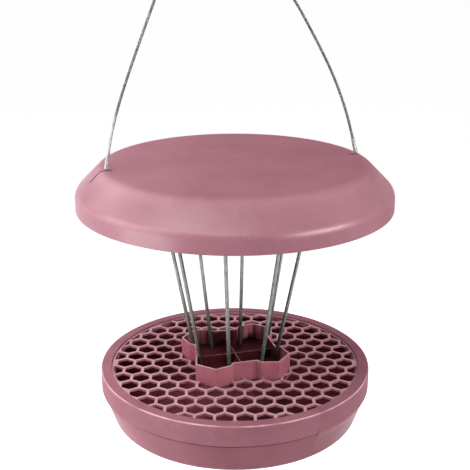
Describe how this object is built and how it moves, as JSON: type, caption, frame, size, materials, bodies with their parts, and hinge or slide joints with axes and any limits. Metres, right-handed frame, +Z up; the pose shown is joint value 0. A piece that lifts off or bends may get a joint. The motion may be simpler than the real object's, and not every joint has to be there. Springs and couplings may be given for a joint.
{
  "type": "hanging bird feeder house",
  "caption": "Round hanging bird feeder: shallow roof on leaning steel rods over a honeycomb perch tray with a clover food cup, a lift-off seed bowl and a wire rope bail.",
  "frame": {"origin": "middle of the flat underside of the bowl", "axes": "+Z up, X through the two cable holes in the roof with +X to the right in the picture, +Y away from the viewer"},
  "size_m": [0.2504, 0.2504, 0.4136],
  "materials": {
    "rose_plastic": "satin moulded plastic in a dusty rose colour",
    "galvanised_steel": "dull galvanised wire",
    "aluminium": "crimped, lightly worn",
    "wire_rope": "stranded galvanised wire rope"
  },
  "bodies": {
    "bowl": {"seed_bowl": "rose_plastic"},
    "house": {"tray_rim": "rose_plastic", "honeycomb_grid": "rose_plastic", "food_cup": "rose_plastic", "rod_1": "galvanised_steel", "rod_2": "galvanised_steel", "rod_3": "galvanised_steel", "rod_4": "galvanised_steel", "rod_5": "galvanised_steel", "rod_6": "galvanised_steel", "rod_7": "galvanised_steel", "rod_8": "galvanised_steel", "roof": "rose_plastic", "cable_stop_left": "aluminium", "cable_stop_right": "aluminium"},
    "hanger": {"hanging_cable": "wire_rope", "cable_sleeve_left": "aluminium", "cable_sleeve_right": "aluminium"}
  },
  "joints": [
    {"name": "house_lift", "type": "slide", "parent": "bowl", "child": "house", "axis": [0, 0, 1], "range_m": [0, 0.06]},
    {"name": "bail_swing", "type": "hinge", "parent": "house", "child": "hanger", "pos_m": [0, 0, 0.2178], "axis": [1, 0, 0], "range_deg": [-85, 85]}
  ]
}
